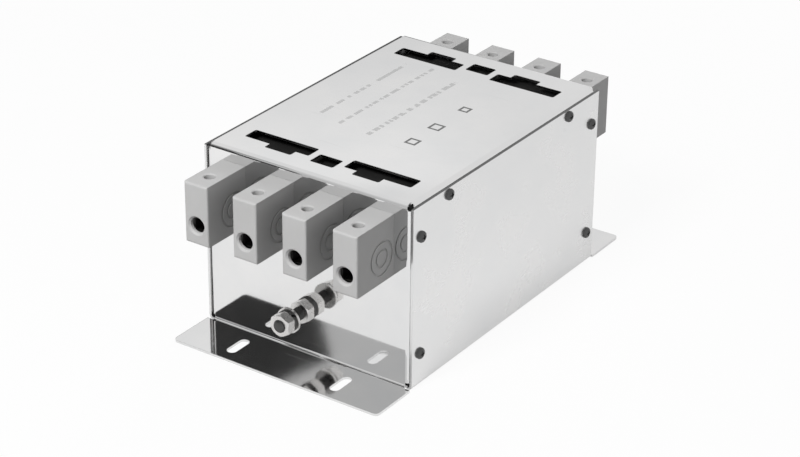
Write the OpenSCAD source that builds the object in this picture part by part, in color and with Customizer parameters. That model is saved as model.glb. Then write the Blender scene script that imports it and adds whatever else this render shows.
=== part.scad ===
// Four-pole EMI line filter in a folded steel housing with two mounting flanges.
// The body is long along X, its wiring ends face -X (line) and +X (load), and
// the underside of the flanges lies on Z = 0, centred on the origin.

/* [Housing] */
// Length of the body over its two end walls
body_l = 204; // [200:1:240]
// Width of the body over its side sheets
body_w = 150; // [148:1:190]
// Height of the lid above the mounting plane
body_h = 120; // [116:1:150]
// Length of a mounting flange beyond its end wall
flange_l = 35; // [32:1:50]
// Radius of the flange corners
flange_corner = 3; // [1:0.5:6]
// Thickness of the steel sheet
sheet_t = 1.5; // [1:0.1:2]
// Inside radius of every bend
bend_r = 1.5; // [1:0.1:2.5]
// Gap between two sheets that lie on each other
sheet_gap = 0.1; // [0.05:0.05:0.3]
// How far the side sheets end below the lid's face
side_drop = 2; // [1:0.5:4]
// Width of the folded tabs that take the side screws
tab_l = 15; // [13:1:20]
// Open corner where three folds meet, past the bends
relief = 1; // [0.5:0.5:2]

/* [Mounting slots] */
// Width of a mounting slot
slot_w = 6.6; // [5.5:0.1:9]
// Length of a mounting slot, along the body
slot_l = 18; // [12:1:20]
// Distance from the end wall to the middle of a slot
slot_x = 19; // [17:0.5:20]
// Distance between the two slots of one flange
slot_pitch = 76; // [60:1:110]

/* [Lid openings] */
// Distance from the end of the body to the middle of the long openings
opening_x = 24.7; // [22:0.1:40]
// Width of the long openings, along the body
opening_w = 11; // [8:0.5:14]
// Length of the long openings, across the body
opening_l = 47; // [40:1:52]
// Distance from the middle of the lid to the middle of a long opening
opening_y = 36.2; // [34:0.1:42]
// Length of the wide stretch of a long opening
wide_l = 19; // [10:1:24]
// Distance from the middle of the lid to the wide stretch
wide_y = 31.5; // [30:0.5:36]
// How much further the wide stretch reaches towards the end wall
wide_step = 5.3; // [3:0.1:7]
// Length of the middle opening, across the body
vent_l = 16.4; // [10:0.2:18]
// Width of the middle opening, along the body
vent_w = 11; // [8:0.5:14]
// How much nearer the end the middle opening lies than the long ones
vent_shift = 5; // [0:0.5:6]
// Corner radius of the openings
opening_r = 1.2; // [0.5:0.1:2.5]

/* [Terminal blocks] */
// Distance between two neighbouring blocks
pole_pitch = 35.4; // [30:0.2:36]
// Width of a block
block_w = 17; // [16.5:0.5:20]
// Height of a block
block_h = 39; // [36:1:44]
// How far a block stands out of the end wall
block_l = 36; // [34:1:44]
// Distance from the lid's face down to the top of a block
block_drop = 8.4; // [6:0.2:12]
// Radius of the block's front edges
block_edge = 1.2; // [0.6:0.1:2]
// Thickness of the block's front wall
front_wall = 3; // [2:0.5:4]
// Thickness of the block under its clamp cage
block_floor = 3; // [2.5:0.5:5]
// Ledge of the block that bears on the end wall
shoulder = 1; // [0.8:0.1:1.2]
// How far the block reaches behind the end wall
tail_l = 10; // [8:1:14]
// Height of the latch that holds the block behind the end wall
latch_h = 1; // [0.5:0.1:1.5]
// Diameter of the wire entry
entry_d = 10; // [8:0.5:10]
// Depth and widening of the entry's funnel
funnel = 1.2; // [0.6:0.2:1.6]
// Diameter of the hole over the clamp screw
access_d = 6.8; // [6.6:0.1:8]
// Distance from the block's front to the clamp screw
access_x = 13.5; // [12:0.5:16]
// Radius of the larger ring moulded into the block's sides
ring_r = 11; // [8:0.5:12]
// Radius of the smaller ring
inner_ring_r = 6; // [4:0.5:7]
// Width of the ring grooves
ring_w = 1.4; // [0.8:0.2:2]
// Depth of the ring grooves
ring_depth = 0.6; // [0.3:0.1:0.8]
// Distance from the end wall to the middle of the rings
ring_x = 12; // [10:0.5:14]
// Height of the middle of the rings above the block's underside
ring_z = 16; // [13:0.5:20]
// Thickness of the block's walls beside its clamp cage, at the neck
neck_wall = 0.9; // [0.8:0.1:1.2]

/* [Clamps and busbars] */
// Length of a clamp cage along the wire
cage_l = 16; // [14:1:18]
// Thickness of the cage's sides
cage_wall = 1.2; // [1:0.1:1.4]
// Thickness of the cage's floor
cage_floor = 2; // [1.5:0.5:3]
// Thickness of the cage's threaded roof
cage_roof = 4; // [3:0.5:5]
// Diameter of the clamp screw
clamp_d = 6; // [5:0.5:6]
// Length of the clamp screw
clamp_l = 15; // [12:1:17]
// Gap between the thickest wire and the screw of the open clamp
clamp_gap = 0.6; // [0.4:0.1:1]
// How far the screw of the open clamp reaches below the cage's roof
clamp_reach = 2; // [1:0.5:3]
// Width of a busbar
bus_w = 9; // [6:0.5:10]
// Thickness of a busbar
bus_t = 2; // [1.5:0.5:3]
// How far a busbar reaches behind its block
lug_l = 7; // [5:1:10]

/* [Ground studs] */
// Diameter of the stud
stud_d = 8; // [6:1:8]
// Height of the stud above the mounting plane
stud_z = 31.4; // [24:0.2:44]
// How far the stud stands out of the end wall
stud_l = 29; // [27:1:34]
// Width over the flats of the nuts and the bolt head
hex_af = 13; // [12:0.5:15]
// Height of a nut
nut_h = 6.5; // [5:0.5:7]
// Height of the bolt head behind the end wall
bolt_head_h = 5.3; // [4:0.1:6]
// Diameter of the plain washer
washer_d = 16; // [15:0.5:20]
// Thickness of the plain washer
washer_t = 1.6; // [1:0.2:2]
// Outer diameter of the lock washers
lock_d = 14; // [12.5:0.5:16]
// Thickness of the lock washers
lock_t = 1.8; // [1.2:0.2:2.4]
// Length of thread left free outside the outer nut
stud_free = 1.5; // [1:0.5:3]

/* [Side screws] */
// Thread diameter of the side screws
screw_d = 4; // [3:0.5:4]
// Diameter of the screw heads
head_d = 7; // [6:0.5:8]
// Height of the screw heads
head_h = 2.4; // [1.8:0.2:3]
// Length of the screws under their heads
screw_l = 7; // [6:1:10]
// Width of the cross recess in their heads
recess_w = 0.9; // [0.6:0.1:1.2]
// Distance from the end of the body to the screws in the end walls' tabs
corner_x = 8; // [7:0.5:9]
// Height of the lower screws, and distance of the upper ones below the lid
corner_z = 22; // [20:1:30]
// Distance from the end of the body to the screws in the lid's tabs
lid_screw_x = 36; // [30:1:50]
// Distance of those screws below the lid
lid_screw_z = 6.5; // [6:0.5:8]

/* [Inside] */
// Gap between the lid's underside and the potting
fill_drop = 5; // [4:0.5:8]
// Outer radius of a choke core
core_r = 40; // [36:1:42]
// Radial thickness of a choke core
core_rim = 18; // [14:1:20]
// Width of a choke core
core_w = 26; // [20:1:28]
// Thickness of a winding
wind_t = 4.5; // [3.5:0.5:6]
// Angle that one winding covers
wind_angle = 66; // [50:1:72]
// Turns of one winding
turns = 6; // [4:1:8]
// Share of the pitch that the copper of a turn fills
turn_fill = 0.8; // [0.6:0.05:0.9]
// Side of the square copper leads
lead_w = 4; // [3:0.5:5]
// Side of the square taps down to the circuit board
tap_w = 1.6; // [1:0.2:2]
// Room for the leads beside each choke
lead_room = 8; // [7:0.5:10]
// Potting below the chokes
choke_floor = 4; // [3:1:8]
// Height of the circuit board above the tray
board_z = 14; // [10:1:18]
// Thickness of the circuit board
board_t = 1.6; // [1:0.2:2]
// Width of the circuit board
board_w = 132; // [128:1:136]
// Length, width and height of a line-to-line capacitor
x_cap = [24, 22, 36];
// Length, width and height of a line-to-ground capacitor
y_cap = [14, 10, 20];
// Distance between two capacitors of a kind along the board's width
cap_pitch = 40; // [38:1:42]
// Gap between the two rows of capacitors
row_gap = 5; // [4:0.5:8]
// Length, width and height of a discharge resistor
resistor = [8, 16, 5];

/* [Hidden] */
$fn = 64;
POLES = [0:7];
ENDS = ["line", "load"];
function pole_name(part, k) = str(part, "_", ENDS[floor(k / 4)], "_", k % 4 + 1);

// How far a cutting body runs past the face it cuts
cut = 1;
// Gap where a rigid piece rests on or in another
seat = 0.1;
// Radial gap of a thread in its hole, and of a shank in a free hole
thread_gap = 0.05;
shank_gap = 0.2;
// Stretch that a folded tab shares with the sheet it is bent from
lap = 1;
// Chamfers: on the tips of studs and clamp screws, on the tips of side
// screws, and on the corners of hexagons
stud_tip = 1;
screw_tip = 0.4;
hex_turned = 0.8;

// Housing
bend_out = sheet_t + bend_r;
inner_w = body_w - 2 * (sheet_t + sheet_gap);
flat_w = inner_w - 2 * bend_out;
corner = bend_out + relief;
wall_x = body_l / 2;
fill_x = wall_x - sheet_t - sheet_gap;
fill_y = inner_w / 2 - sheet_t - sheet_gap;
fill_z = sheet_t + sheet_gap;
fill_top = body_h - sheet_t - fill_drop;

// Terminal blocks, in a frame on the end wall with +X pointing out of it
block_z = body_h - block_drop - block_h;
neck_w = block_w - 2 * shoulder;
neck_h = block_h - 2 * shoulder;
latch_l = 2.5;
cage_w = neck_w - 2 * (neck_wall + seat);
cage_x = block_l - access_x;
cage_z = block_floor + seat;
bus_z = cage_z + cage_floor + seat;
entry_z = bus_z + bus_t + entry_d / 2;
clamp_z = bus_z + bus_t + entry_d + clamp_gap;
cage_h = clamp_z - cage_z + clamp_reach + cage_roof;
cavity_top = cage_z + cage_h + 2 * seat;
bus_end = sheet_t + tail_l + lug_l;

// Inside
wound = core_w / 2 + 2 * seat + wind_t;
lug_x = wall_x - bus_end;
choke_x = lug_x - lead_room - wound;
choke_z = sheet_t + choke_floor + core_r + 2 * seat + wind_t;
wind_mid = core_r - core_rim / 2;
wind_y = wind_mid * sin(45);
board_top = sheet_t + board_z + board_t;
board_l = 2 * (choke_x - wound - lead_room);
link_y = board_w / 2 - lead_w;
row_x = (row_gap + x_cap[0]) / 2;

// Points along an arc about c, from angle a to angle b
function arc(c, r, a, b, n = 8) =
    [for (i = [0:n]) c + r * [cos(a + (b - a) * i / n), sin(a + (b - a) * i / n)]];
function reversed(list) = [for (i = [len(list) - 1:-1:0]) list[i]];
// A closed outline from its half on the +X side, mirrored about X = 0
function mirrored(half) = concat(half, [for (p = reversed(half)) [-p[0], p[1]]]);

// Draws its children at both ends of the body, outward along +X
module both_ends() {
    for (turn = [0, 180])
        rotate([0, 0, turn])
            translate([wall_x, 0, 0])
                children();
}

// Draws its children at pole k, in the frame of the terminal blocks
module at_pole(k) {
    rotate([0, 0, k < 4 ? 180 : 0])
        translate([wall_x, (k % 4 - 1.5) * pole_pitch, block_z])
            children();
}

// Draws its children at every side screw, with +Z pointing out of the side
module at_side_screws() {
    spots = [
        [wall_x - corner_x, corner_z],
        [wall_x - corner_x, body_h - corner_z],
        [wall_x - lid_screw_x, body_h - lid_screw_z]
    ];
    for (side = [-1, 1], end = [-1, 1], spot = spots)
        translate([end * spot[0], side * body_w / 2, spot[1]])
            rotate([-side * 90, 0, 0])
                children();
}

// A rectangle with round corners, l by w and centred, h high
module round_plate(l, w, r, h) {
    cube_at([l - 2 * r, w, h]);
    cube_at([l, w - 2 * r, h]);
    for (x = [-1, 1], y = [-1, 1])
        translate([x * (l / 2 - r), y * (w / 2 - r), 0])
            cylinder(r = r, h = h);
}

// A box centred in X and Y that stands on Z = 0
module cube_at(size) {
    translate([-size[0] / 2, -size[1] / 2, 0])
        cube(size);
}

// A box from one corner to the opposite one
module box(low, high) {
    translate(low)
        cube(high - low);
}

// ---- Folded cover: lid, end walls, flanges and tabs in one sheet ----

// Outline of the strip that forms lid, end walls and flanges, seen along Y
function cover_outer() = concat(
    [[wall_x + flange_l, 0], [wall_x + flange_l, sheet_t]],
    arc([wall_x + bend_r, bend_out], bend_r, 270, 180),
    arc([wall_x - bend_out, body_h - bend_out], bend_out, 0, 90)
);
function cover_inner() = concat(
    [[wall_x + flange_l, 0]],
    arc([wall_x + bend_r, bend_out], bend_out, 270, 180),
    arc([wall_x - bend_out, body_h - bend_out], bend_r, 0, 90)
);

module cover_strip() {
    outer = mirrored(cover_outer());
    inner = mirrored(cover_inner());
    rotate([90, 0, 0])
        linear_extrude(flat_w, center = true)
            polygon(concat(outer, reversed(inner)));
}

// The lid's two long tabs, folded down behind the side sheets
module lid_tabs() {
    middle = [flat_w / 2, body_h - bend_out];
    outline = concat(
        [[flat_w / 2 - lap, body_h]],
        arc(middle, bend_out, 90, 0),
        [[inner_w / 2, body_h - tab_l], [inner_w / 2 - sheet_t, body_h - tab_l]],
        arc(middle, bend_r, 0, 90),
        [[flat_w / 2 - lap, body_h - sheet_t]]
    );
    for (turn = [0, 180])
        rotate([0, 0, turn])
            rotate([90, 0, 90])
                linear_extrude(body_l - 2 * corner, center = true)
                    polygon(outline);
}

// The end walls' upright tabs, folded back behind the side sheets
module wall_tabs() {
    middle = [wall_x - bend_out, flat_w / 2];
    outline = concat(
        [[wall_x, flat_w / 2 - lap]],
        arc(middle, bend_out, 0, 90),
        [[wall_x - tab_l, inner_w / 2], [wall_x - tab_l, inner_w / 2 - sheet_t]],
        arc(middle, bend_r, 90, 0),
        [[wall_x - sheet_t, flat_w / 2 - lap]]
    );
    for (x = [0, 1], y = [0, 1])
        mirror([x, 0, 0])
            mirror([0, y, 0])
                difference() {
                    translate([0, 0, corner])
                        linear_extrude(body_h - 2 * corner)
                            polygon(outline);
                    // Notch where the lid's tab comes down
                    box([wall_x - tab_l - cut, flat_w / 2, body_h - tab_l - relief],
                        [wall_x - bend_out, inner_w / 2 + cut, body_h - corner + cut]);
                }
}

module flange() {
    start = bend_r + relief / 2;
    translate([start, 0, 0])
        box([0, -body_w / 2, 0], [flange_corner, body_w / 2, sheet_t]);
    translate([(start + flange_l) / 2, 0, 0])
        round_plate(flange_l - start, body_w, flange_corner, sheet_t);
}

module lid_openings() {
    depth = sheet_t + 2 * cut;
    translate([-opening_x, 0, body_h - sheet_t - cut]) {
        for (side = [-1, 1]) {
            translate([0, side * opening_y, 0])
                round_plate(opening_w, opening_l, opening_r, depth);
            translate([wide_step / 2, side * wide_y, 0])
                round_plate(opening_w + wide_step, wide_l, opening_r, depth);
        }
        translate([vent_shift, 0, 0])
            round_plate(vent_w, vent_l, opening_r, depth);
    }
}

module mounting_slot() {
    half = (slot_l - slot_w) / 2;
    for (x = [-half, half])
        translate([x, 0, -cut])
            cylinder(d = slot_w, h = sheet_t + 2 * cut);
    translate([0, 0, -cut])
        cube_at([2 * half, slot_w, sheet_t + 2 * cut]);
}

module wall_cutouts() {
    for (j = [0:3])
        translate([-sheet_t - cut, (j - 1.5) * pole_pitch, block_z + shoulder - seat])
            box([0, -neck_w / 2 - seat, 0],
                [sheet_t + 2 * cut, neck_w / 2 + seat, neck_h + 2 * seat]);
    translate([-sheet_t - cut, 0, stud_z])
        rotate([0, 90, 0])
            cylinder(r = stud_d / 2 + shank_gap, h = sheet_t + 2 * cut);
}

module cover() {
    color("gainsboro")
        difference() {
            union() {
                cover_strip();
                lid_tabs();
                wall_tabs();
                both_ends() flange();
            }
            both_ends() {
                lid_openings();
                wall_cutouts();
                for (side = [-1, 1])
                    translate([slot_x, side * slot_pitch / 2, 0])
                        mounting_slot();
            }
            at_side_screws()
                translate([0, 0, -screw_l])
                    cylinder(r = screw_d / 2 + thread_gap, h = screw_l + cut);
        }
}

// ---- Folded tray: base and both side sheets in one sheet ----

module tray() {
    middle = [body_w / 2 - bend_out, bend_out];
    top = body_h - side_drop;
    outer = concat(arc(middle, bend_out, 270, 360), [[body_w / 2, top]]);
    inner = concat(arc(middle, bend_r, 270, 360), [[body_w / 2 - sheet_t, top]]);
    notch = flat_w / 2 + relief;
    color("silver")
        difference() {
            rotate([90, 0, 90])
                linear_extrude(body_l, center = true)
                    polygon(concat(
                        reversed(outer), [for (p = outer) [-p[0], p[1]]],
                        reversed([for (p = inner) [-p[0], p[1]]]), inner));
            both_ends()
                box([-sheet_t - seat, -notch, -cut], [cut, notch, sheet_t + cut]);
            at_side_screws()
                translate([0, 0, -sheet_t - sheet_gap])
                    cylinder(r = screw_d / 2 + shank_gap, h = sheet_t + cut);
        }
}

// ---- Side screws ----

module pan_screw() {
    recess = 0.55 * head_d;
    rim = 0.35 * head_h;
    difference() {
        rotate_extrude()
            polygon(concat(
                [[0, -screw_l], [screw_d / 2 - screw_tip, -screw_l],
                 [screw_d / 2, screw_tip - screw_l],
                 [screw_d / 2, 0], [head_d / 2, 0], [head_d / 2, rim]],
                [for (a = [30, 60, 90])
                    [head_d / 2 * cos(a), rim + (head_h - rim) * sin(a)]]));
        for (turn = [0, 90])
            rotate([0, 0, turn])
                translate([0, 0, head_h / 2])
                    cube_at([recess, recess_w, head_h]);
    }
}

module side_screws() {
    color("dimgray")
        at_side_screws() pan_screw();
}

// ---- Terminal blocks ----

module block_body() {
    side = concat(
        [[0, 0]],
        arc([block_l - block_edge, block_edge], block_edge, 270, 360, 4),
        arc([block_l - block_edge, block_h - block_edge], block_edge, 0, 90, 4),
        [[0, block_h]]);
    plan = concat(
        [[0, -block_w / 2]],
        arc([block_l - block_edge, block_edge - block_w / 2], block_edge, 270, 360, 4),
        arc([block_l - block_edge, block_w / 2 - block_edge], block_edge, 0, 90, 4),
        [[0, block_w / 2]]);
    intersection() {
        rotate([90, 0, 0])
            linear_extrude(block_w + 2 * cut, center = true)
                polygon(side);
        translate([0, 0, -cut])
            linear_extrude(block_h + 2 * cut)
                polygon(plan);
    }
}

// The neck through the end wall, the tail behind it and the latches on the tail
module block_neck() {
    latch_x = sheet_t + seat;
    box([-sheet_t - tail_l, -neck_w / 2, shoulder], [cut, neck_w / 2, shoulder + neck_h]);
    rotate([90, 0, 0])
        linear_extrude(neck_w, center = true)
            polygon([
                [-latch_x - latch_l, shoulder], [-latch_x, shoulder - latch_h],
                [-latch_x, shoulder + neck_h + latch_h],
                [-latch_x - latch_l, shoulder + neck_h]
            ]);
}

module ring_groove(radius) {
    difference() {
        cylinder(r = radius, h = ring_depth + cut);
        translate([0, 0, -cut])
            cylinder(r = radius - ring_w, h = ring_depth + 3 * cut);
    }
}

module block(k) {
    cavity_w = cage_w + 2 * seat;
    color("lightgray")
        at_pole(k)
            difference() {
                union() {
                    block_body();
                    block_neck();
                }
                // Room for the clamp cage and the busbar, open behind
                box([-sheet_t - tail_l - cut, -cavity_w / 2, block_floor],
                    [block_l - front_wall, cavity_w / 2, cavity_top]);
                // Wire entry with its funnel
                translate([block_l - front_wall - cut, 0, entry_z])
                    rotate([0, 90, 0])
                        cylinder(d = entry_d, h = front_wall + 2 * cut);
                translate([block_l - funnel, 0, entry_z])
                    rotate([0, 90, 0])
                        cylinder(r1 = entry_d / 2, r2 = entry_d / 2 + funnel, h = funnel);
                // Hole over the clamp screw
                translate([cage_x, 0, cavity_top - cut])
                    cylinder(d = access_d, h = block_h - cavity_top + 2 * cut);
                translate([cage_x, 0, block_h - funnel / 2])
                    cylinder(r1 = access_d / 2, r2 = (access_d + funnel) / 2, h = funnel / 2);
                // Rings moulded into both sides
                for (side = [-1, 1], radius = [ring_r, inner_ring_r])
                    translate([ring_x, side * (block_w / 2 - ring_depth), ring_z])
                        rotate([-side * 90, 0, 0])
                            ring_groove(radius);
            }
}

// ---- Clamp cages, clamp screws and busbars ----

module cage(k) {
    color("silver")
        at_pole(k)
            translate([cage_x, 0, cage_z])
                difference() {
                    cube_at([cage_l, cage_w, cage_h]);
                    translate([0, 0, cage_floor])
                        cube_at([cage_l + 2 * cut, cage_w - 2 * cage_wall,
                                 cage_h - cage_floor - cage_roof]);
                    translate([0, 0, cage_h - cage_roof - cut])
                        cylinder(r = clamp_d / 2 + thread_gap, h = cage_roof + 2 * cut);
                }
}

module clamp_screws() {
    groove = [1, 1.6];
    color("silver")
        for (k = POLES)
            at_pole(k)
                translate([cage_x, 0, clamp_z])
                    difference() {
                        union() {
                            cylinder(r1 = clamp_d / 2 - stud_tip, r2 = clamp_d / 2, h = stud_tip);
                            translate([0, 0, stud_tip])
                                cylinder(d = clamp_d, h = clamp_l - stud_tip);
                        }
                        translate([0, 0, clamp_l - groove[1]])
                            cube_at([groove[0], clamp_d + cut, groove[1] + cut]);
                    }
}

module busbar(k) {
    color("peru")
        at_pole(k)
            box([-bus_end, -bus_w / 2, bus_z],
                [cage_x + cage_l / 2, bus_w / 2, bus_z + bus_t]);
}

// ---- Ground studs ----

// A hexagonal head or nut with its corners turned off on both faces
module hex_blank(height) {
    corner_r = hex_af / 2 / cos(30);
    intersection() {
        cylinder(r = corner_r, h = height, $fn = 6);
        rotate_extrude()
            polygon([[0, 0], [hex_af / 2, 0], [corner_r, hex_turned],
                     [corner_r, height - hex_turned],
                     [hex_af / 2, height], [0, height]]);
    }
}

// Draws its children on both stud axes, with +Z pointing out of the end wall
module at_studs(distance) {
    both_ends()
        translate([distance, 0, stud_z])
            rotate([0, 90, 0])
                children();
}

module ring(outer_d, height) {
    difference() {
        cylinder(d = outer_d, h = height);
        translate([0, 0, -cut])
            cylinder(r = stud_d / 2 + thread_gap, h = height + 2 * cut);
    }
}

// Faces of the outer nut, lock washer and plain washer that point at the wall
outer_nut_x = stud_l - stud_free - nut_h;
outer_lock_x = outer_nut_x - lock_t;
outer_washer_x = outer_lock_x - washer_t;

module ground_bolts() {
    color("silver")
        at_studs(-sheet_t - bolt_head_h) {
            hex_blank(bolt_head_h);
            cylinder(d = stud_d, h = bolt_head_h + sheet_t + stud_l - stud_tip);
            translate([0, 0, bolt_head_h + sheet_t + stud_l - stud_tip])
                cylinder(r1 = stud_d / 2, r2 = stud_d / 2 - stud_tip, h = stud_tip);
        }
}

module lock_washers() {
    color("silver")
        for (x = [0, outer_lock_x])
            at_studs(x) ring(lock_d, lock_t);
}

module ground_washers() {
    color("gainsboro")
        at_studs(outer_washer_x) ring(washer_d, washer_t);
}

module ground_nuts() {
    color("silver")
        for (x = [lock_t, outer_nut_x])
            at_studs(x)
                difference() {
                    hex_blank(nut_h);
                    translate([0, 0, -cut])
                        cylinder(r = stud_d / 2 + thread_gap, h = nut_h + 2 * cut);
                }
}

// ---- Chokes ----

// A ring about X whose square section is offset outwards from the core by grow
module choke_ring(grow, angle = 360) {
    low = core_r - core_rim - grow;
    half = core_w / 2 + grow;
    rotate([0, 90, 0])
        rotate_extrude(angle = angle)
            polygon([[low, -half], [core_r + grow, -half], [core_r + grow, half], [low, half]]);
}

module at_choke(end) {
    translate([end * choke_x, 0, choke_z])
        children();
}

module core(end) {
    color("dimgray")
        at_choke(end) choke_ring(0);
}

// A square bar along one axis between two points
module bar(a, b, w = lead_w) {
    low = [for (i = [0:2]) min(a[i], b[i]) - w / 2];
    high = [for (i = [0:2]) max(a[i], b[i]) + w / 2];
    box(low, high);
}

module bars(points) {
    for (i = [1:len(points) - 1])
        bar(points[i - 1], points[i]);
}

// Copper leads of pole k: from the choke to the busbar's end, and from the
// choke to the middle of the filter, where the two ends' leads meet
module leads(k) {
    y = (k % 4 - 1.5) * pole_pitch;
    side = y < 0 ? -1 : 1;
    upper = abs(k % 4 - 1.5) < 1;
    from_y = side * wind_y;
    from_z = choke_z + (upper ? 1 : -1) * wind_y;
    bus_mid = block_z + bus_z + bus_t / 2;
    lead_x = lug_x - lead_room / 2;
    face = core_w / 2 + 3 * seat + lead_w / 2;
    link = choke_x - wound - lead_room / 2;
    out_y = upper ? from_y : side * link_y;
    rotate([0, 0, k < 4 ? 180 : 0]) {
        bars([
            [choke_x + face, from_y, from_z], [lead_x, from_y, from_z],
            [lead_x, y, from_z], [lead_x, y, bus_mid],
            [lug_x - lead_w / 2, y, bus_mid]
        ]);
        bars([
            [choke_x - face, from_y, from_z], [link, from_y, from_z],
            [link, out_y, from_z], [lead_w / 2, out_y, from_z]
        ]);
        // A tap down to the circuit board, on the load end's leads
        if (k >= 4)
            box([2 * seat, out_y - tap_w / 2, board_top],
                [2 * seat + tap_w, out_y + tap_w / 2, from_z]);
    }
}

// One winding with its leads: a sleeve round the core that carries the turns
module winding(k) {
    side = k % 4 < 2 ? -1 : 1;
    upper = abs(k % 4 - 1.5) < 1;
    middle = atan2(side, upper ? 1 : -1);
    fit = 2 * seat;
    pitch = wind_angle / turns;
    color("peru") {
        rotate([0, 0, k < 4 ? 180 : 0])
            at_choke(1)
                rotate([-middle - wind_angle / 2 + 90, 0, 0])
                    difference() {
                        union() {
                            sector(fit + wind_t / 2, wind_angle);
                            for (i = [0:turns - 1])
                                rotate([(i + (1 - turn_fill) / 2) * pitch, 0, 0])
                                    sector(fit + wind_t, turn_fill * pitch);
                        }
                        choke_ring(fit);
                    }
        leads(k);
    }
}

// A stretch of the ring that starts at +Y and turns towards +Z
module sector(grow, angle) {
    rotate([90, 0, 0])
        choke_ring(grow, angle);
}

// ---- Circuit board and its parts ----

module board() {
    color("olivedrab")
        translate([0, 0, sheet_t + board_z])
            cube_at([board_l, board_w, board_t]);
}

module x_capacitor(i) {
    column = i % 2;
    row = floor(i / 2) - 1;
    color("goldenrod")
        translate([(2 * column - 1) * row_x, row * cap_pitch, board_top])
            cube_at(x_cap);
}

module y_capacitor(i) {
    column = i % 2;
    row = floor(i / 2) - 0.5;
    color("steelblue")
        translate([(2 * column - 1) * row_x, row * cap_pitch, board_top])
            cube_at(y_cap);
}

module bleed_resistors() {
    color("ivory")
        for (row = [-1:1])
            translate([0, row * cap_pitch, sheet_t + board_z - resistor[2]])
                cube_at(resistor);
}

// ---- Potting around everything inside ----

module potting() {
    chamfer = bend_r + relief;
    outline = [
        [fill_x, fill_y - chamfer], [fill_x - chamfer, fill_y],
        [chamfer - fill_x, fill_y], [-fill_x, fill_y - chamfer],
        [-fill_x, chamfer - fill_y], [chamfer - fill_x, -fill_y],
        [fill_x - chamfer, -fill_y], [fill_x, chamfer - fill_y]
    ];
    color([0.08, 0.08, 0.08])
        difference() {
            translate([0, 0, fill_z])
                linear_extrude(fill_top - fill_z)
                    polygon(outline);
            for (end = [-1, 1])
                at_choke(end) choke_ring(2 * seat + wind_t);
            for (k = POLES) {
                leads(k);
                at_pole(k) tail_room();
            }
            at_studs(-sheet_t - bolt_head_h)
                cylinder(r = hex_af / 2 / cos(30), h = bolt_head_h + cut);
            at_side_screws()
                translate([0, 0, -screw_l - seat])
                    cylinder(r = screw_d / 2 + seat, h = screw_l);
            board();
            bleed_resistors();
            for (i = [0:5]) x_capacitor(i);
            for (i = [0:3]) y_capacitor(i);
        }
}

// The space of a block's tail, its latches and the busbar's end
module tail_room() {
    box([-sheet_t - tail_l, -neck_w / 2, shoulder - latch_h],
        [cut, neck_w / 2, shoulder + neck_h + latch_h]);
    box([-bus_end, -bus_w / 2, bus_z], [-sheet_t, bus_w / 2, bus_z + bus_t]);
}

cover();
tray();
side_screws();
clamp_screws();
ground_bolts();
lock_washers();
ground_washers();
ground_nuts();
potting();
core(-1);  // core_line
core(1);  // core_load
board();
bleed_resistors();
for (i = [0:5]) x_capacitor(i);
for (i = [0:3]) y_capacitor(i);
for (k = POLES) block(k);
for (k = POLES) cage(k);
for (k = POLES) busbar(k);
for (k = POLES) winding(k);
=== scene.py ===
# %% [markdown]
# # A boxed EMI line filter
# This lesson dresses the solid model of a four-pole mains filter: a folded
# steel housing, grey terminal blocks on both ends, ground studs and a black
# resin fill. The solids carry the shapes. Here they get their finishes, and
# the few pieces that need finer forms, such as screw threads, are made new.

# %% Load the solid model
import math

import bpy
import numpy as np
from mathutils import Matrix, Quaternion, Vector


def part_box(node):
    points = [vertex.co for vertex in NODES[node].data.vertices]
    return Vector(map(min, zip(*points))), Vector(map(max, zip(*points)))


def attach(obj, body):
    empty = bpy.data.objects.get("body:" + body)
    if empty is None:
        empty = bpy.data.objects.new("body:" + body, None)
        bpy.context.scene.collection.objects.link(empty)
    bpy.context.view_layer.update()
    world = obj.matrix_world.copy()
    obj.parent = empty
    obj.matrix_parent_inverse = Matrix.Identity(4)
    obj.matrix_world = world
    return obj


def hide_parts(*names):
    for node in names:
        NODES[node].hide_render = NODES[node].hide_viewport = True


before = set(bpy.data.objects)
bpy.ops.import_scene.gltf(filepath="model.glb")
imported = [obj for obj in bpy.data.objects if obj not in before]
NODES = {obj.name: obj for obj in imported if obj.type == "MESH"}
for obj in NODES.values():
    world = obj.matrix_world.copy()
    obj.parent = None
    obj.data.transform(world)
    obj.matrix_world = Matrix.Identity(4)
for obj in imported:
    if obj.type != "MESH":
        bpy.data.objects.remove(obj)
scene = bpy.context.scene
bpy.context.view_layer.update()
print("solid pieces:", len(NODES))

# %% [markdown]
# ## Camera
# A product is best looked at through a long lens from some way off, so that
# a box hardly tapers. The camera is placed by the direction it looks in, its
# distance and the point it aims at, which is easier to think about than a
# location and three angles.

# %% Camera
MM = 0.001
AZIMUTH, ELEVATION, ROLL = 34.426, 27.134, 0.551  # degrees
AIM = Vector((-8.1, -1.4, 45.4)) * MM
DISTANCE = 1.4924
LENS, SENSOR = 108.816, 36.0  # mm


def add_camera(aim, azimuth, elevation, roll, distance, lens):
    """The camera looks down at `elevation` along `azimuth`, then rolls."""
    az, el = math.radians(azimuth), math.radians(elevation)
    ahead = Vector((math.cos(el) * math.cos(az), math.cos(el) * math.sin(az),
                    -math.sin(el)))
    data = bpy.data.cameras.new("camera")
    data.lens, data.sensor_width = lens, SENSOR
    camera = bpy.data.objects.new("camera", data)
    scene.collection.objects.link(camera)
    camera.location = aim - ahead * distance
    camera.rotation_mode = "QUATERNION"
    turn = Quaternion((0, 0, 1), math.radians(roll))
    camera.rotation_quaternion = ahead.to_track_quat("-Z", "Y") @ turn
    return camera


scene.camera = add_camera(AIM, AZIMUTH, ELEVATION, ROLL, DISTANCE, LENS)
print("camera at", [round(v, 3) for v in scene.camera.location])

# %% [markdown]
# ## Helpers for node materials
# Every finish here is a Principled shader with a few nodes in front of it,
# and the sky is a Background shader with a few more. Wiring them one by one
# takes many lines, so a small class adds a node and feeds its inputs in one
# call, and gives back the output that the next node needs.

# %% Helpers for nodes


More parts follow.
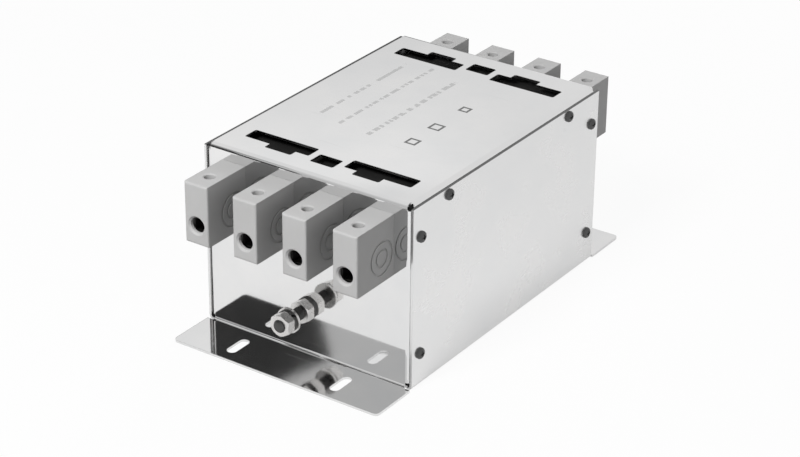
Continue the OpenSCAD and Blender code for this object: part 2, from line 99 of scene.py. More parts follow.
class Wiring:
    """A node tree under construction, with short calls to add to it."""

    def __init__(self, tree):
        self.tree = tree

    def node(self, kind, inputs=None, **settings):
        """Adds a node; an input is a number, a colour or another output."""
        made = self.tree.nodes.new(kind)
        for key, value in settings.items():
            setattr(made, key, value)
        for key, value in (inputs or {}).items():
            if isinstance(value, bpy.types.NodeSocket):
                self.tree.links.new(value, made.inputs[key])
            else:
                made.inputs[key].default_value = value
        return made

    def math(self, operation, a, b=0.0, c=0.0):
        """One sum on one or more values; returns the result's output."""
        made = self.node("ShaderNodeMath", {0: a, 1: b, 2: c},
                         operation=operation)
        return made.outputs[0]

    def ramp(self, value, low, high, to_low=0.0, to_high=1.0):
        """Maps low..high of a value to to_low..to_high, held at both ends."""
        made = self.node("ShaderNodeMapRange",
                         {"Value": value, "From Min": low, "From Max": high,
                          "To Min": to_low, "To Max": to_high})
        return made.outputs["Result"]

    def either(self, path, first, second):
        """1 on rays of one or the other kind, from a Light Path node."""
        return self.math("MAXIMUM", path.outputs[first],
                         path.outputs[second])

    def mirrored(self, path):
        """1 on rays that a mirror sends to the eye. One that has met matt
        plastic on its way has a diffuse depth of 1 or more, and counts as
        diffuse."""
        fresh = self.math("LESS_THAN", path.outputs["Diffuse Depth"], 0.5)
        return self.math("MULTIPLY", path.outputs["Is Glossy Ray"], fresh)


print("wiring ready")

# %% [markdown]
# A finish adds what all of them share: the shader itself, the object's own
# coordinates, which stay on the surface in any view, noises stretched along
# the axes, worn edges, and relief.

# %% Helpers for finishes


class Finish(Wiring):
    """A material under construction. Its sockets' fixed values are named."""

    def __init__(self, name, **sockets):
        self.material = bpy.data.materials.new(name)
        self.material.use_nodes = True
        super().__init__(self.material.node_tree)
        self.shader = self.tree.nodes["Principled BSDF"]
        for socket, value in sockets.items():
            self.shader.inputs[socket.replace("_", " ")].default_value = value
        self.place = self.node("ShaderNodeTexCoord").outputs["Object"]

    def axes(self):
        """The place's X, Y and Z as three outputs, in metres."""
        return self.node("ShaderNodeSeparateXYZ", {0: self.place}).outputs

    def stretched(self, scale):
        """The object's coordinates in metres times a scale along each axis."""
        made = self.node("ShaderNodeMapping", {"Vector": self.place,
                                               "Scale": scale})
        return made.outputs["Vector"]

    def noise(self, scale, detail=2.0, rough=0.5):
        """Soft random values from 0 to 1; scale is cells in a metre."""
        scale = (scale,) * 3 if isinstance(scale, (int, float)) else scale
        made = self.node("ShaderNodeTexNoise",
                         {"Vector": self.stretched(scale), "Scale": 1.0,
                          "Detail": detail, "Roughness": rough})
        return made.outputs["Fac"]

    def blend(self, factor, first, second):
        """A colour that goes from the first to the second with a factor."""
        made = self.tree.nodes.new("ShaderNodeMix")
        made.data_type = "RGBA"
        for index, value in ((0, factor), (6, first), (7, second)):
            if isinstance(value, bpy.types.NodeSocket):
                self.tree.links.new(value, made.inputs[index])
            else:
                made.inputs[index].default_value = value
        return made.outputs[2]

    def edges(self, radius):
        """1 along sharp edges and 0 on open faces: how far the normal of a
        rounded copy of the surface leans away from the true one."""
        soft = self.node("ShaderNodeBevel", {"Radius": radius}, samples=4)
        true = self.node("ShaderNodeNewGeometry").outputs["Normal"]
        dot = self.node("ShaderNodeVectorMath",
                        {0: soft.outputs[0], 1: true}, operation="DOT_PRODUCT")
        return self.ramp(dot.outputs["Value"], 0.98, 0.75)

    def around(self, noise, middle, spread):
        """Values from a noise: the middle, more or less by the spread."""
        return self.ramp(noise, 0.3, 0.7, middle - spread, middle + spread)

    def drive(self, socket, output):
        """Feeds one of the shader's sockets."""
        self.tree.links.new(output, self.shader.inputs[socket])

    def bump(self, height, strength, distance, radius=0.0003):
        """Small relief on top of edges that are rounded by a radius."""
        soft = self.node("ShaderNodeBevel", {"Radius": radius}, samples=4)
        made = self.node("ShaderNodeBump",
                         {"Height": height, "Strength": strength,
                          "Distance": distance, "Normal": soft.outputs[0]})
        self.drive("Normal", made.outputs["Normal"])


def grey(value, warm=0.0):
    """A neutral colour; warm shifts it a little from blue towards red."""
    return (value * (1 + warm), value, value * (1 - warm), 1.0)


print("finish helpers ready")

# %% [markdown]
# ## Stage: the sky
# The part stands on plain white. What the camera sees there is white, and
# what bright steel mirrors is a little greyer, so that the steel stands out.
# The Light Path node tells which kind of ray asks, so each gets its own
# strength and the light on the part isn't changed by the backdrop.

# %% World
SKY_HIGH, SKY_LOW = 0.78, 0.80
HIGH_FROM, HIGH_TO = 0.1, 0.5
FILL_RIGHT, FILL_LEFT = 0.95, 0.10
RIGHT_TO, LEFT_FROM = -0.90, -0.35


def add_world():
    """Strength 1 towards the camera. Towards mirrors, a ramp of the ray's
    height. Diffuse light is a ramp of its Y, strong only from far right,
    where the lamps don't reach: it lights the outer side of the last block
    and leaves the gaps between the blocks dark."""
    world = bpy.data.worlds.new("studio")
    scene.world = world
    world.use_nodes = True
    sky = Wiring(world.node_tree)
    sky.tree.nodes.clear()
    path = sky.node("ShaderNodeLightPath")
    toward = sky.node("ShaderNodeTexCoord").outputs["Generated"]
    _, across, up = sky.node("ShaderNodeSeparateXYZ", {0: toward}).outputs
    high = sky.ramp(up, HIGH_FROM, HIGH_TO, SKY_LOW, SKY_HIGH)
    fill = sky.ramp(across, RIGHT_TO, LEFT_FROM, FILL_RIGHT, FILL_LEFT)
    lit = sky.node("ShaderNodeMix", {0: sky.mirrored(path), 2: fill, 3: high})
    clear = sky.either(path, "Is Camera Ray", "Is Transmission Ray")
    shown = sky.node("ShaderNodeMix", {0: clear, 2: lit.outputs[0], 3: 1.0})
    back = sky.node("ShaderNodeBackground",
                    {"Color": (1.0, 1.0, 1.0, 1.0),
                     "Strength": shown.outputs[0]})
    sky.node("ShaderNodeOutputWorld", {"Surface": back.outputs[0]})


add_world()
scene.view_settings.view_transform = "Standard"
print("world ready")

# %% [markdown]
# ## Surfaces from arrays
# A new piece here is a grid of points worked out with numpy and joined by
# quads. Two helpers do what all such pieces need: the first numbers the
# quads, the second puts points and faces into an object at the origin.

# %% Surfaces from arrays


def grid_faces(rows, columns, wrap_rows=False, wrap_columns=False, first=0):
    """Quads between the points of a grid, counted row by row. A wrapped
    direction joins its last line to its first."""
    r = np.arange(rows if wrap_rows else rows - 1)
    c = np.arange(columns if wrap_columns else columns - 1)
    r, c = (a.ravel() for a in np.meshgrid(r, c, indexing="ij"))
    r2, c2 = (r + 1) % rows, (c + 1) % columns
    return first + np.stack([r * columns + c, r * columns + c2,
                             r2 * columns + c2, r2 * columns + c], axis=1)


def add_mesh(name, points, faces, smooth=True):
    """Puts points in metres and faces into a mesh at the origin."""
    mesh = bpy.data.meshes.new(name)
    mesh.from_pydata(points.tolist(), [], [list(map(int, f)) for f in faces])
    mesh.polygons.foreach_set("use_smooth", [smooth] * len(mesh.polygons))
    mesh.update()
    made = bpy.data.objects.new(name, mesh)
    scene.collection.objects.link(made)
    return made


print("mesh helpers ready")

# %% [markdown]
# ## Floor
# The floor is one large white square, far wider than the view, so that its
# edge never shows.

# %% Floor
FLOOR_HALF = 6.0
floor_grid = np.array([[x, y, 0.0] for x in (-1, 1) for y in (-1, 1)])
floor = add_mesh("floor", floor_grid * FLOOR_HALF, [(0, 2, 3, 1)], False)
print("floor", FLOOR_HALF * 2, "m wide")

# %% [markdown]
# Most of what the camera sees of the floor is a glow of strength 1, so it
# merges with the sky. The rest is its own shading, which keeps the part's
# shadow. Reflections get more of the shading, so the walls darken a little
# towards their foot.

# %% Floor finish
GLOW_SEEN, GLOW_MIRRORED = 0.94, 0.48
FLOOR_SEEN, FLOOR_BOUNCE = 0.64, 0.30


def floor_finish():
    """Matt white mixed with a glow. The glow's share is large towards the
    camera, smaller towards reflections and none for diffuse light, which
    sees a greyer floor."""
    made = Finish("floor", Roughness=0.9)
    out = made.tree.nodes["Material Output"]
    glow = made.node("ShaderNodeEmission", {"Strength": 1.0})
    path = made.node("ShaderNodeLightPath")
    near = made.either(path, "Is Camera Ray", "Is Transmission Ray")
    share = made.math("MULTIPLY", near, GLOW_SEEN)
    share = made.math("MULTIPLY_ADD", made.mirrored(path), GLOW_MIRRORED,
                      share)
    made.drive("Base Color", made.blend(
        path.outputs["Is Diffuse Ray"], grey(FLOOR_SEEN), grey(FLOOR_BOUNCE)))
    mix = made.node("ShaderNodeMixShader", {
        0: share, 1: made.shader.outputs[0], 2: glow.outputs[0]})
    made.tree.links.new(mix.outputs[0], out.inputs["Surface"])
    return made.material


floor.data.materials.append(floor_finish())
print("floor finish ready")

# %% [markdown]
# ## Lamps
# One soft lamp stands high in front of the line end, a weak one lower down,
# and a third behind for the load end. They model the plastic and the resin.
# Reflections don't see them, because a lamp's square in bright sheet would
# hide the sheet's own look.

# %% Lamps
LAMP_AIM = (0, 0, 0.05)
# name: place in metres, width in metres, power in watts
LAMPS = {"key_lamp": ((-1.3, 0.05, 1.45), 0.6, 41.0),
         "front_lamp": ((-1.8, 0.05, 0.5), 0.4, 2.0),
         "back_lamp": ((1.7, 0.3, 0.7), 0.8, 16.0)}


def add_lamp(name, place, size, power):
    """A square soft lamp that faces the aim point."""
    data = bpy.data.lights.new(name, "AREA")
    data.size, data.energy = size, power
    lamp = bpy.data.objects.new(name, data)
    scene.collection.objects.link(lamp)
    lamp.location = place
    lamp.rotation_mode = "QUATERNION"
    ahead = Vector(LAMP_AIM) - Vector(place)
    lamp.rotation_quaternion = ahead.to_track_quat("-Z", "Y")
    lamp.visible_glossy = False


for name, settings in LAMPS.items():
    add_lamp(name, *settings)
print("lamps:", len(LAMPS))

# %% [markdown]
# ## Cards for the reflections
# Bright metal shows what stands round it. A dark card to the left turns the
# corner of flange and end wall black, and a grey one beside it takes the
# glare off the rest of the flange. Only reflections can see them, so they
# throw no shade and stay out of sight.

# %% Cards
WALL_X, SHEET = 102.0 * MM, 1.5 * MM
CARD_AWAY = 200.0 * MM
FADE_FROM, FADE_TO = 200, 480
DARK_SHADE, GREY_SHADE = 0.035, 0.53
# The cards' common edge and their outlines (across, up) in mm
SEAM = [(137, 70), (137, 119), (129, 145), (170, 176), (205, 215),
        (205, 480)]
DARK_CARD = SEAM + [(420, 480), (420, 70)]
GREY_CARD = SEAM + [(25, 480), (25, 70)]


def reflector_paint(name):
    """Black without gloss, ready for a glow of its own."""
    paint = Finish(name, Base_Color=grey(0.0), Roughness=1.0,
                   Specular_IOR_Level=0.0)
    paint.shader.inputs["Emission Color"].default_value = grey(1.0)
    return paint


def only_reflected(piece, paint):
    """Paints a piece and hides it from every ray but the glossy ones."""
    piece.data.materials.append(paint.material)
    for ray in ("camera", "diffuse", "transmission", "shadow"):
        setattr(piece, "visible_" + ray, False)


def add_card(name, outline, shade, x):
    """An upright card. The outline is given across and up, on a plane that
    faces along X. Its upper part fades to the sky's tone, so that the lid
    mirrors no hard edge of it."""
    points = np.array([[x, y * MM, z * MM] for y, z in outline])
    card = add_mesh(name, points, [tuple(range(len(outline)))], False)
    paint = reflector_paint(name)
    paint.drive("Emission Strength", paint.ramp(
        paint.axes()["Z"], FADE_FROM * MM, FADE_TO * MM, shade, SKY_HIGH))
    only_reflected(card, paint)


add_card("dark_card", DARK_CARD, DARK_SHADE, -WALL_X - CARD_AWAY)
add_card("grey_card", GREY_CARD, GREY_SHADE, -WALL_X - CARD_AWAY)
print("cards: 2")

# %% [markdown]
# ## Dark paper behind
# A bend in bright sheet is a narrow curved mirror. Black paper laid low
# behind a metal box turns its far bends and the groove beside them dark, and
# so draws the outline of the lid against the white.

# %% Dark paper
PAPER_NEAR, PAPER_AWAY, PAPER_HIGH = 0.30, 0.80, 0.56
PAPER_FROM, PAPER_TO, PAPER_STEPS = 24, 66, 15  # degrees
DARK_UP_TO, LIGHT_FROM = 0.29, 0.37
BLACK, PALE, RISE = 0.02, 0.70, 0.20
SLOPE_CLEAR, SLOPE_FULL = 0.46, 0.66  # across over ahead


def add_paper():
    """A fan on the floor that turns up into an upright arc: the profile
    (distance, height) carried round the vertical. Upwards it goes from
    black to pale and on to the sky's tone. Towards its right end, where
    across over ahead is small, it takes the sky's tone altogether."""
    turn = np.radians(np.linspace(PAPER_FROM, PAPER_TO, PAPER_STEPS))
    rings = [np.stack([np.cos(turn) * away, np.sin(turn) * away,
                       np.full_like(turn, high)], axis=1)
             for away, high in ((PAPER_NEAR, MM), (PAPER_AWAY, MM),
                                (PAPER_AWAY, PAPER_HIGH))]
    paper = add_mesh("dark_paper", np.concatenate(rings),
                     grid_faces(len(rings), len(turn)), False)
    paint = reflector_paint("dark_paper")
    ahead, across, height = paint.axes()
    fade = paint.math(
        "ADD", paint.ramp(height, DARK_UP_TO, LIGHT_FROM, BLACK, PALE),
        paint.ramp(height, LIGHT_FROM, PAPER_HIGH, 0.0, RISE))
    full = paint.ramp(paint.math("DIVIDE", across, ahead), SLOPE_CLEAR,
                      SLOPE_FULL)
    paint.drive("Emission Strength", paint.math(
        "MULTIPLY_ADD", paint.math("SUBTRACT", fade, SKY_HIGH), full,
        SKY_HIGH))
    only_reflected(paper, paint)


add_paper()
print("paper ready")

# %% [markdown]
# ## Print on the lid
# A label is printed straight on the lid in grey. Here it is only rows of
# dashes and three blank squares, which say nothing. It could be drawn as a
# picture, but ramps of the place keep it sharp at any distance and need no
# image.

# %% Print on the lid
LID_TOP = float(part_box("cover")[1][2])
# In mm: rows of dashes (x0, x1, y, width) and blank squares (x, y, side)
LINES = [(-30, 62, 42.8, 2.6), (-36, 66, 24.8, 2.6), (-40, 56, 1.7, 3.4)]
SQUARES = [(25.2, -25.8, 7.0), (-6.0, -25.8, 8.5), (-31.2, -25.8, 8.0)]
FRAME, SOFT = 1.6, 0.1  # line width and softness of the squares' edges, mm
DASH_SHADE = 0.45
DASH_CELLS = (260.0, 40.0, 0.0)  # in a metre
DASH_FROM, DASH_TO = 0.46, 0.48


def print_mask(made):
    """1 on the lid's print and 0 off it. Each mark is a product of ramps of
    the distance to its middle. A noise that varies faster along X breaks
    the rows into dashes, and they are half as dark as the squares."""
    x, y, z = made.axes()

    def within(value, middle, half):
        """1 where the value is less than half from the middle, in mm."""
        away = made.math("ABSOLUTE",
                         made.math("SUBTRACT", value, middle * MM))
        return made.ramp(away, half * MM + SOFT * MM, half * MM - SOFT * MM)

    def mark(at_x, at_y, half_x, half_y):
        """1 inside a rectangle: what is within it along X and along Y."""
        return made.math("MULTIPLY", within(x, at_x, half_x),
                         within(y, at_y, half_y))

    total = 0.0
    for x0, x1, line_y, width in LINES:
        row = mark((x0 + x1) / 2, line_y, (x1 - x0) / 2, width / 2)
        total = made.math("MULTIPLY_ADD", row, DASH_SHADE, total)
    dashes = made.ramp(made.noise(DASH_CELLS, 0.0), DASH_FROM, DASH_TO)
    total = made.math("MULTIPLY", total, dashes)
    for mark_x, mark_y, side in SQUARES:
        outer = mark(mark_x, mark_y, side / 2, side / 2)
        inner = mark(mark_x, mark_y, side / 2 - FRAME, side / 2 - FRAME)
        total = made.math("ADD", total, made.math("SUBTRACT", outer, inner))
    on_top = made.ramp(z, LID_TOP - 0.3 * MM, LID_TOP - 0.1 * MM)
    return made.math("MULTIPLY", total, on_top)


print("print:", len(LINES), "rows and", len(SQUARES), "squares")

# %% [markdown]
# ## Plated steel sheet
# The cover and the tray are bent from cold-rolled steel with a bright tin
# plating. Such sheet is a soft mirror with very fine lines along the rolling
# direction, a cloudy sheen where the plating is thicker, hair scratches from
# handling and edges rubbed dull. The sheet runs along X, so the noise that
# makes the lines is stretched along X. The sides' top edges are painted dark:
# painted shade of the groove between the lid and the sides.

# %% Finish of the sheets
# Noises: cells in a metre. Relief: metres.
ROLLED, HAIR = (6.0, 1600.0, 1600.0), (900.0, 14.0, 300.0)
CLOUDS, WAVES = 26.0, 9.0
RUBBED = 0.0006
LINE_RELIEF, SCRATCH_RELIEF = 0.0000012, -0.000002
# Tone of the painted shade on the sides' top edges, then of the print's ink
GROOVE_SHADE_TONE, INK = 0.15, 0.10


def sheet_finish(name, tone, base_rough, wave, groove_shade_from=1.0, printed=False):
    """Bright metal: tone is its reflection, base_rough the polish between
    the marks and wave the height of its slow unevenness in metres. Above the
    given top height the colour is painted dark: painted shade of the groove
    beside the lid. The print is grey ink: darker, and hardly metal."""
    made = Finish(name, Metallic=1.0)
    lines = made.noise(ROLLED, 3.0)
    cloud = made.noise(CLOUDS, 3.0, 0.6)
    scratch = made.ramp(made.noise(HAIR, 2.0), 0.70, 0.74)
    edge = made.edges(RUBBED)
    rough = made.ramp(cloud, 0.35, 0.65, base_rough * 0.75, base_rough * 1.3)
    for mark, added in ((lines, base_rough * 0.4), (scratch, 0.10),
                        (edge, 0.18)):
        rough = made.math("MULTIPLY_ADD", mark, added, rough)
    made.drive("Roughness", rough)
    tint = made.blend(made.ramp(cloud, 0.3, 0.7), grey(tone * 0.97, -0.004),
                      grey(tone * 1.02, 0.004))
    for mark, share, dull in ((edge, 0.5, 0.86), (scratch, 0.25, 0.8)):
        tint = made.blend(made.math("MULTIPLY", mark, share), tint,
                          grey(tone * dull))
    # Painted shade: the sides' top edges turn dark, standing in for the shade
    # in the groove between the lid and the sides
    groove_shade = made.ramp(made.axes()["Z"], groove_shade_from - 0.4 * MM,
                     groove_shade_from - 0.1 * MM)
    tint = made.blend(groove_shade, tint, grey(GROOVE_SHADE_TONE))
    if printed:
        ink = print_mask(made)
        tint = made.blend(ink, tint, grey(INK))
        made.drive("Metallic", made.math("MULTIPLY_ADD", ink, -0.9, 1.0))
    made.drive("Base Color", tint)
    relief = made.math("MULTIPLY_ADD", lines, LINE_RELIEF / wave,
                       made.noise(WAVES, 1.0))
    relief = made.math("MULTIPLY_ADD", scratch, SCRATCH_RELIEF / wave,
                       relief)
    made.bump(relief, 1.0, wave, 0.0004)
    return made.material


PLATED = sheet_finish("plated_sheet", 0.86, 0.055, 0.00002, printed=True)
# The side sheet takes painted shade on its top edges, from the tray's top
# height up
SIDE = sheet_finish("side_sheet", 0.84, 0.20, 0.00005,
                    float(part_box("tray")[1][2]))
print("sheets:", PLATED.name, SIDE.name)

# %% [markdown]
# ## Turned and stamped steel
# Screws, nuts and washers are zinc plated. They are turned or stamped, so
# their marks are finer and have no one direction: a speckled polish with
# rubbed edges is enough at their size. The same recipe with other numbers
# gives the dark side screws and the dull clamp cages. The stud threads, the
# bolt heads and the lock washers get a dark tone that is painted shade of
# the threads.

# %% Finish of the hardware


def hardware_finish(name, tone, rough, warm=0.0, wear=1.15):
    """Plated small parts: speckled polish. At rubbed edges the tone is
    times wear."""
    made = Finish(name, Metallic=1.0)
    speck = made.noise(1800.0, 3.0, 0.7)
    cloud = made.noise(160.0, 2.0)
    edge = made.edges(0.0003)
    made.drive("Roughness", made.math(
        "MULTIPLY_ADD", speck, 0.12, made.around(cloud, rough, 0.05)))
    tint = made.blend(made.ramp(cloud, 0.3, 0.7), grey(tone * 0.9, warm),
                      grey(tone * 1.05, warm))
    worn = grey(min(tone * wear, 0.95), warm)
    made.drive("Base Color", made.blend(edge, tint, worn))
    made.bump(speck, 0.6, 0.00001, 0.00015)
    return made.material


ZINC = hardware_finish("zinc_plating", 0.74, 0.22, 0.015)
SCREW = hardware_finish("dark_screw_plating", 0.10, 0.32, 0.0, 2.0)
CLAMP = hardware_finish("clamp_plating", 0.34, 0.36, 0.01)
# Painted shade: the threads, bolt heads and lock washers take a dark tone that
# stands in for the shade in the threads' grooves
STUD = hardware_finish("thread_painted_shade", 0.10, 0.34, 0.01, 2.2)
print("hardware:", ZINC.name, SCREW.name, CLAMP.name, STUD.name)

# %% [markdown]
# ## Moulded plastic and cast resin
# The terminal blocks are a light grey nylon with the fine grain of a spark
# eroded mould, rubbed shiny at the edges. The resin is poured in black and
# hardens with a soft gloss, a few dull patches and tiny bubbles.

# %% Finish of plastics and resin


def moulded_finish(name, tone, rough, grain, gloss=0.45):
    """Moulded plastic: grain is the size of the mould's pits in metres."""
    made = Finish(name, Specular_IOR_Level=gloss)
    pits = made.noise(1.0 / grain, 2.0, 0.6)
    cloud = made.noise(45.0, 3.0, 0.6)
    edge = made.edges(0.0005)
    polish = made.math("MULTIPLY_ADD", pits, 0.10,
                       made.around(cloud, rough, 0.06))
    made.drive("Roughness", made.math("MULTIPLY_ADD", edge, -0.12, polish))
    tint = made.blend(made.ramp(cloud, 0.3, 0.7), grey(tone * 0.96, 0.006),
                      grey(tone * 1.03, 0.002))
    tint = made.blend(made.math("MULTIPLY", edge, 0.5), tint,
                      grey(min(tone * 1.18, 0.9)))
    made.drive("Base Color", tint)
    made.bump(pits, 0.5, 0.00003, 0.0004)
    return made.material


def resin_finish():
    """Black cast resin: soft gloss with dull clouds and small bubbles."""
    made = Finish("cast_resin", Specular_IOR_Level=0.5)
    cloud = made.noise(60.0, 3.0)
    cells = made.node("ShaderNodeTexVoronoi",
                      {"Vector": made.place, "Scale": 380.0})
    bubble = made.ramp(cells.outputs["Distance"], 0.12, 0.05)
    made.drive("Roughness", made.ramp(cloud, 0.3, 0.7, 0.22, 0.5))
    made.drive("Base Color", made.blend(cloud, grey(0.010),
                                        grey(0.022, 0.02)))
    slow = made.noise(35.0, 2.0)
    made.bump(made.math("MULTIPLY_ADD", bubble, -0.6, slow), 0.8, 0.0003)
    return made.material


PLASTIC = moulded_finish("grey_nylon", 0.42, 0.52, 0.0003, 0.25)
RESIN = resin_finish()
print("plastics:", PLASTIC.name, RESIN.name)

# %% [markdown]
# ## Finishes of what lies inside
# The coils, cores, board and capacitors are sealed in the resin, but the
# model carries them, so they get their real surfaces too: enamelled copper
# with drawing lines, a coated core, lacquered laminate with its weave, and
# moulded cases.

# %% Finish of copper, cores and board parts


def copper_finish(name, fresh, stained):
    """Drawn copper: lines along the bars, darker where it is stained."""
    made = Finish(name, Metallic=1.0)
    lines = made.noise((40.0, 900.0, 900.0), 2.0)
    stain = made.noise(70.0, 4.0, 0.65)
    made.drive("Roughness", made.ramp(stain, 0.3, 0.7, 0.22, 0.42))
    made.drive("Base Color", made.blend(
        made.ramp(stain, 0.45, 0.75), fresh, stained))
    made.bump(lines, 0.4, 0.00001, 0.0003)
    return made.material


def board_finish():
    """Green lacquer over a glass weave that shows as a fine check."""
    made = Finish("lacquered_board", Specular_IOR_Level=0.5)
    weave = made.node("ShaderNodeTexChecker",
                      {"Vector": made.place, "Scale": 1400.0})
    cloud = made.noise(50.0, 2.0)
    made.drive("Roughness", made.ramp(cloud, 0.3, 0.7, 0.25, 0.4))
    made.drive("Base Color", made.blend(
        made.math("MULTIPLY", weave.outputs["Fac"], 0.25),
        (0.035, 0.16, 0.05, 1.0), (0.09, 0.26, 0.08, 1.0)))
    made.bump(weave.outputs["Fac"], 0.3, 0.00001)
    return made.material


def case_finish(name, colour, rough):
    """A moulded or dipped case in one colour with a faint mottle."""
    made = Finish(name, Specular_IOR_Level=0.5)
    mottle = made.noise(220.0, 3.0)
    made.drive("Roughness", made.around(mottle, rough, 0.07))
    darker = tuple(0.82 * v for v in colour) + (1.0,)
    made.drive("Base Color", made.blend(mottle, darker, colour + (1.0,)))
    made.bump(mottle, 0.3, 0.00002, 0.0006)
    return made.material


COPPER = copper_finish("copper", (0.90, 0.50, 0.33, 1.0),
                       (0.52, 0.23, 0.13, 1.0))
TINNED = copper_finish("tinned_copper", grey(0.42, 0.02), grey(0.28, 0.03))
BOARD = board_finish()
CORE = case_finish("coated_core", (0.055, 0.055, 0.06), 0.55)
X_CASE = case_finish("yellow_case", (0.70, 0.48, 0.08), 0.35)
Y_CASE = case_finish("blue_case", (0.05, 0.16, 0.42), 0.3)
CERAMIC = case_finish("white_ceramic", (0.72, 0.69, 0.62), 0.6)
print("inner finishes: 7")

# %% [markdown]
# ## Give every solid its finish
# The solids keep their meshes. Only the material in their slots changes, and
# the node's name says which finish it takes.

# %% Finishes by name
FINISHES = {
    "cover": PLATED, "tray": SIDE, "side_screws": SCREW,
    "clamp_screws": SCREW, "ground_bolts": ZINC, "ground_nuts": ZINC,
    "ground_washers": ZINC, "lock_washers": ZINC, "potting": RESIN,
    "core": CORE, "board": BOARD, "bleed_resistors": CERAMIC,
    "x_capacitor": X_CASE, "y_capacitor": Y_CASE, "block": PLASTIC,
    "cage": CLAMP, "busbar": TINNED, "winding": COPPER,
}


def finish_for(name):
    """The finish whose key is the longest start of the node's name."""
    key = max((k for k in FINISHES if name.startswith(k)), key=len)
    return FINISHES[key]


for name, node in NODES.items():
    node.data.materials.clear()
    node.data.materials.append(finish_for(name))
print("finished solids:", len(NODES))

# %% [markdown]
# ## Ground studs with real threads
# Each stud is an M8 bolt put through the end wall from inside. The box of the
# solid bolts says how high it sits and how far it reaches, so the new pieces
# are made to fit the solid ones.

# %% Sizes of the studs
STUD_R, STUD_PITCH = 4.0 * MM, 1.25 * MM
THREAD_DEPTH = 0.61 * STUD_PITCH
TIP_UNDER = 0.2 * MM  # the tip is this much under the thread's core
ROUND, PER_PITCH = 64, 12
low, high = (np.array(c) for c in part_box("ground_bolts"))
STUD_Z = float(low[2] + high[2]) / 2
STUD_REACH = float(high[0])
print("stud height and reach in mm:", round(STUD_Z / MM, 2),
      round(STUD_REACH / MM, 2))

# %% [markdown]
# A thread is a ridge that climbs 1.25 mm a turn. On a grid of angle by
# height, the radius is a function of both: it depends only on how far the
# point is past the ridge's line. That gives a true helix without turning or
# arraying anything. The bolt's head is a grid of the same kind, so closing
# the ends and standing a piece on the studs' axis are helpers of their own.

# %% Helpers for turned pieces


def turned_x(points, end):
    """Stands a piece made along +Z on a stud's axis: Z becomes X at the load
    end, and half a turn about the vertical takes it to the line end."""
    x, y, z = points[:, 2], points[:, 1], points[:, 0]
    return np.stack([end * x, end * y, STUD_Z - z], axis=1)


def turned_solid(radius, height, angle):
    """A closed piece about Z from its radius on a grid of height by angle.
    One closing point lies in the middle of each end."""
    rows, around = radius.shape
    ring = np.stack([radius * np.cos(angle), radius * np.sin(angle), height],
                    axis=-1)
    ends = [[0, 0, height[0, 0]], [0, 0, height[-1, 0]]]
    points = np.concatenate([ring.reshape(-1, 3), ends])
    last, middle = (rows - 1) * around, rows * around
    here = np.arange(around)
    after = (here + 1) % around
    faces = list(grid_faces(rows, around, wrap_columns=True))
    faces += [(middle, b, a) for a, b in zip(here, after)]
    faces += [(middle + 1, last + a, last + b) for a, b in zip(here, after)]
    return points, faces


def joined(parts):
    """Several (points, faces) in one, with the faces' numbers moved on."""
    points, faces, first = [], [], 0
    for p, f in parts:
        points.append(p)
        faces += [tuple(int(v) + first for v in face) for face in f]
        first += len(p)
    return np.concatenate(points), faces


print("helpers for turned pieces ready")

# %% Threaded shank
SHANK_START = WALL_X - SHEET
CREST, FLANK = 1.35, 3.2  # of the zigzag, which is held between 0 and 1


def threaded_rod(start, stop):
    """The radius is the crest's, less the depth times a rounded zigzag of
    the distance past the helix, and it is held under a cone at the tip."""
    rows = int((stop - start) / STUD_PITCH * PER_PITCH) + 1
    height, angle = np.meshgrid(
        np.linspace(start, stop, rows),
        np.arange(ROUND) * 2 * np.pi / ROUND, indexing="ij")
    phase = np.mod(height / STUD_PITCH - angle / (2 * np.pi), 1.0)
    valley = np.clip(CREST - FLANK * np.abs(phase - 0.5), 0.0, 1.0)
    cone = STUD_R - THREAD_DEPTH - TIP_UNDER + (stop - height)
    radius = np.minimum(STUD_R - THREAD_DEPTH * valley, cone)
    return turned_solid(radius, height, angle)


points, faces = threaded_rod(SHANK_START, STUD_REACH)
rods = [(turned_x(points, end), faces) for end in (-1, 1)]
studs = add_mesh("ground_stud_threads", *joined(rods))
print("threads:", len(studs.data.polygons), "faces")

# %% [markdown]
# ## Heads of the ground bolts
# The hexagonal heads sit against the inside of the end wall. A hexagon with
# turned corners is the smaller of two radii at each angle: the flats of the
# hexagon, and a cone that cuts its corners at both faces.

# %% Hexagonal heads
HEAD_AF, HEAD_H, TURNED = 13.0 * MM, 5.3 * MM, 0.8 * MM


def hexagon(width, height, bevel, around=96, rows=13):
    """Radius = half the width over the cosine of the angle to the nearest
    flat, held under half the width plus what the cone allows at that
    height. The rows lie closer together near both ends."""
    level = np.sin(np.linspace(-np.pi / 2, np.pi / 2, rows)) * 0.5 + 0.5
    high, angle = np.meshgrid(
        level * height, np.arange(around) * 2 * np.pi / around, indexing="ij")
    off = np.mod(angle + np.pi / 6, np.pi / 3) - np.pi / 6
    flat = width / 2 / np.cos(off)
    corner = width / 2 / math.cos(math.pi / 6)
    slope = (corner - width / 2) / bevel
    cone = width / 2 + slope * np.minimum(high, height - high)
    return turned_solid(np.minimum(flat, cone), high, angle)


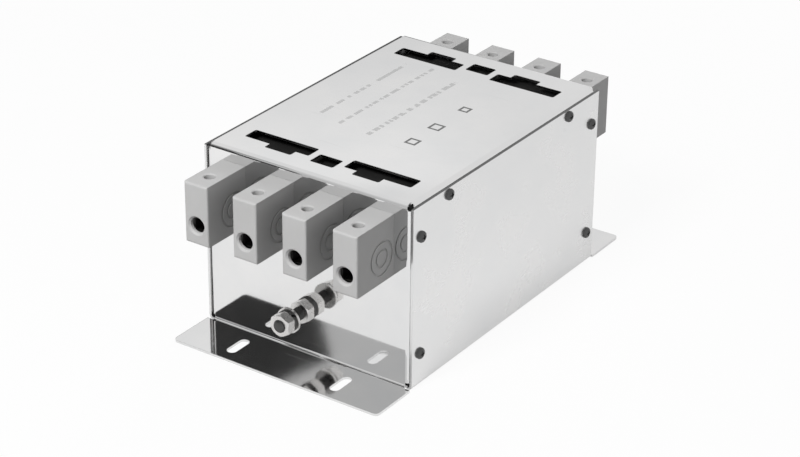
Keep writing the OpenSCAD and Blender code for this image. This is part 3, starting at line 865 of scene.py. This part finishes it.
points, faces = hexagon(HEAD_AF, HEAD_H, TURNED)
points = points + [0, 0, SHANK_START - HEAD_H]
heads = [(turned_x(points, end), faces) for end in (-1, 1)]
bolt_heads = add_mesh("ground_bolt_heads", *joined(heads), False)
# Their dark tone is painted shade of the threads
for piece in (studs, bolt_heads):
    piece.data.materials.append(STUD)
    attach(piece, "root")
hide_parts("ground_bolts")
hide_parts("ground_bolts")
print("bolt heads:", len(bolt_heads.data.polygons), "faces")

# %% [markdown]
# ## Split lock washers
# A spring lock washer is one turn of square wire with its ends cut at a
# slant. It is a small closed section carried round an arc that stops short
# of a full turn. The slant comes from letting the angle depend a little on
# the height within the section.

# %% Lock washers
WASHER_IN, WASHER_OUT, WASHER_H = 4.1 * MM, 7.0 * MM, 1.8 * MM
SPLIT, SLANT, WASHER_EDGE = math.radians(14), math.radians(12), 0.2 * MM
ARC_STEPS = 72
# Each washer's place past the end wall, and where its gap faces in radians
LOCKS = ((0.0, 0.7), (19.2 * MM, 2.4))


def split_ring(middle):
    """A rectangle with cut corners carried round an open arc whose gap
    faces the angle `middle`. Angle = place along the arc plus the slant
    times the height above the section's middle. Both ends are capped."""
    e = WASHER_EDGE
    section = np.array([
        (WASHER_IN + e, 0), (WASHER_OUT - e, 0), (WASHER_OUT, e),
        (WASHER_OUT, WASHER_H - e), (WASHER_OUT - e, WASHER_H),
        (WASHER_IN + e, WASHER_H), (WASHER_IN, WASHER_H - e),
        (WASHER_IN, e)])
    sides = len(section)
    arc = np.linspace(SPLIT / 2, 2 * np.pi - SPLIT / 2, ARC_STEPS)
    radius, height = section[None, :, 0], section[None, :, 1]
    angle = middle + arc[:, None] + SLANT * (height / WASHER_H - 0.5)
    points = np.stack([radius * np.cos(angle), radius * np.sin(angle),
                       np.broadcast_to(height, angle.shape)], axis=-1)
    faces = [tuple(f[::-1]) for f in
             grid_faces(ARC_STEPS, sides, wrap_columns=True)]
    faces.append(tuple(range(sides)))
    last = (ARC_STEPS - 1) * sides
    faces.append(tuple(last + i for i in reversed(range(sides))))
    return points.reshape(-1, 3), faces


rings = []
for end in (-1, 1):
    for away, middle in LOCKS:
        points, faces = split_ring(middle)
        points = points + [0, 0, WALL_X + away]
        rings.append((turned_x(points, end), faces))
washers = add_mesh("split_lock_washers", *joined(rings), False)
# The dark tone is painted shade of the threads, as on the studs
washers.data.materials.append(STUD)
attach(washers, "root")
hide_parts("lock_washers")
print("lock washers:", len(washers.data.polygons), "faces")
